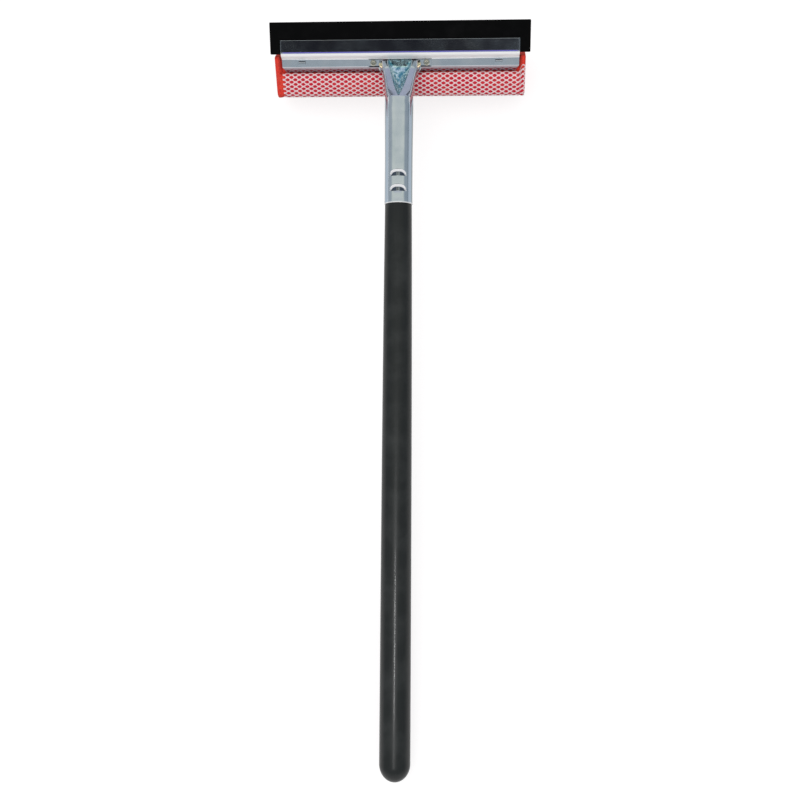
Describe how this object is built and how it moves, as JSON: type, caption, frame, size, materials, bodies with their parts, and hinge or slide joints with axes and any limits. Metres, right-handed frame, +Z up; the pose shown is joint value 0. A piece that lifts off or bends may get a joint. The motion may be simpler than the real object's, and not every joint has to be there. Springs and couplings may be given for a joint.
{
  "type": "window squeegee",
  "caption": "Hand squeegee: a rubber blade and a net-covered foam sponge gripped in a pressed steel head, on a rolled socket and a straight turned handle.",
  "frame": {"origin": "on the surface that the tool lies on, under the middle of its bounding box", "axes": "+X along the head, +Y from the handle's butt to the head, +Z up, with the tool lying on the sponge and the butt, blade side up"},
  "size_m": [0.2032, 0.5872, 0.0639],
  "materials": {
    "handle_paint": "turned wood under gloss black paint",
    "zinc_steel": "pressed sheet steel, bright zinc plate",
    "blade_rubber": "matt black rubber",
    "sponge_foam": "open-cell red foam",
    "net_yarn": "white diamond net of fine yarn"
  },
  "bodies": {
    "root": {"handle": "handle_paint", "socket": "zinc_steel", "front_plate": "zinc_steel", "back_plate": "zinc_steel", "rubber_blade": "blade_rubber", "sponge": "sponge_foam", "net": "net_yarn", "ear_rivet_left": "zinc_steel", "ear_rivet_right": "zinc_steel"}
  },
  "joints": []
}
